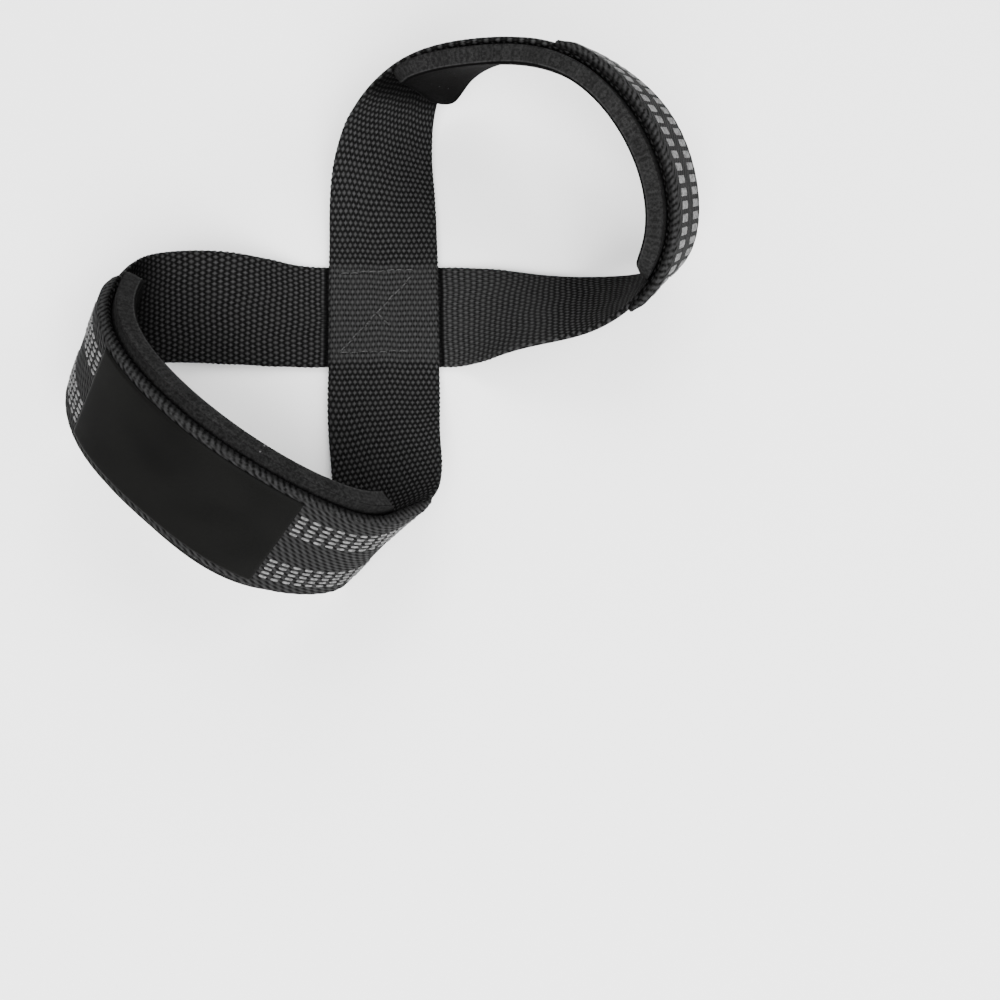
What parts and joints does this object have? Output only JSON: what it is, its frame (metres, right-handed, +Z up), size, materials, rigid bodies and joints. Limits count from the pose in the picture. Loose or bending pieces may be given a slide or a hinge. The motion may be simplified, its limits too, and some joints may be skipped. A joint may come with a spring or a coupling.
{
  "type": "figure-eight lifting strap",
  "caption": "Figure-eight lifting strap: webbing band sewn across itself at the middle, with a foam-padded wrist loop curling up on each side and grip webbing on the outside.",
  "frame": {"origin": "middle of the sewn crossing, on the surface that the strap lies on", "axes": "+Z up; the upper band of the crossing runs along Y and the lower band along X; one loop stands over +X+Y and the other, with the label, over -X-Y"},
  "size_m": [0.2062, 0.1954, 0.0707],
  "materials": {
    "webbing": "black plain-weave cotton-feel webbing, dull",
    "pad": "dark foam rubber with a cloth face, matt",
    "grip_overlay": "charcoal webbing with raised light grey rubber dashes",
    "label": "smooth black satin patch, bare"
  },
  "bodies": {
    "root": {"webbing": "webbing", "pad_upper": "pad", "pad_lower": "pad", "grip_overlay_upper": "grip_overlay", "grip_overlay_lower": "grip_overlay", "label_patch": "label"}
  },
  "joints": []
}
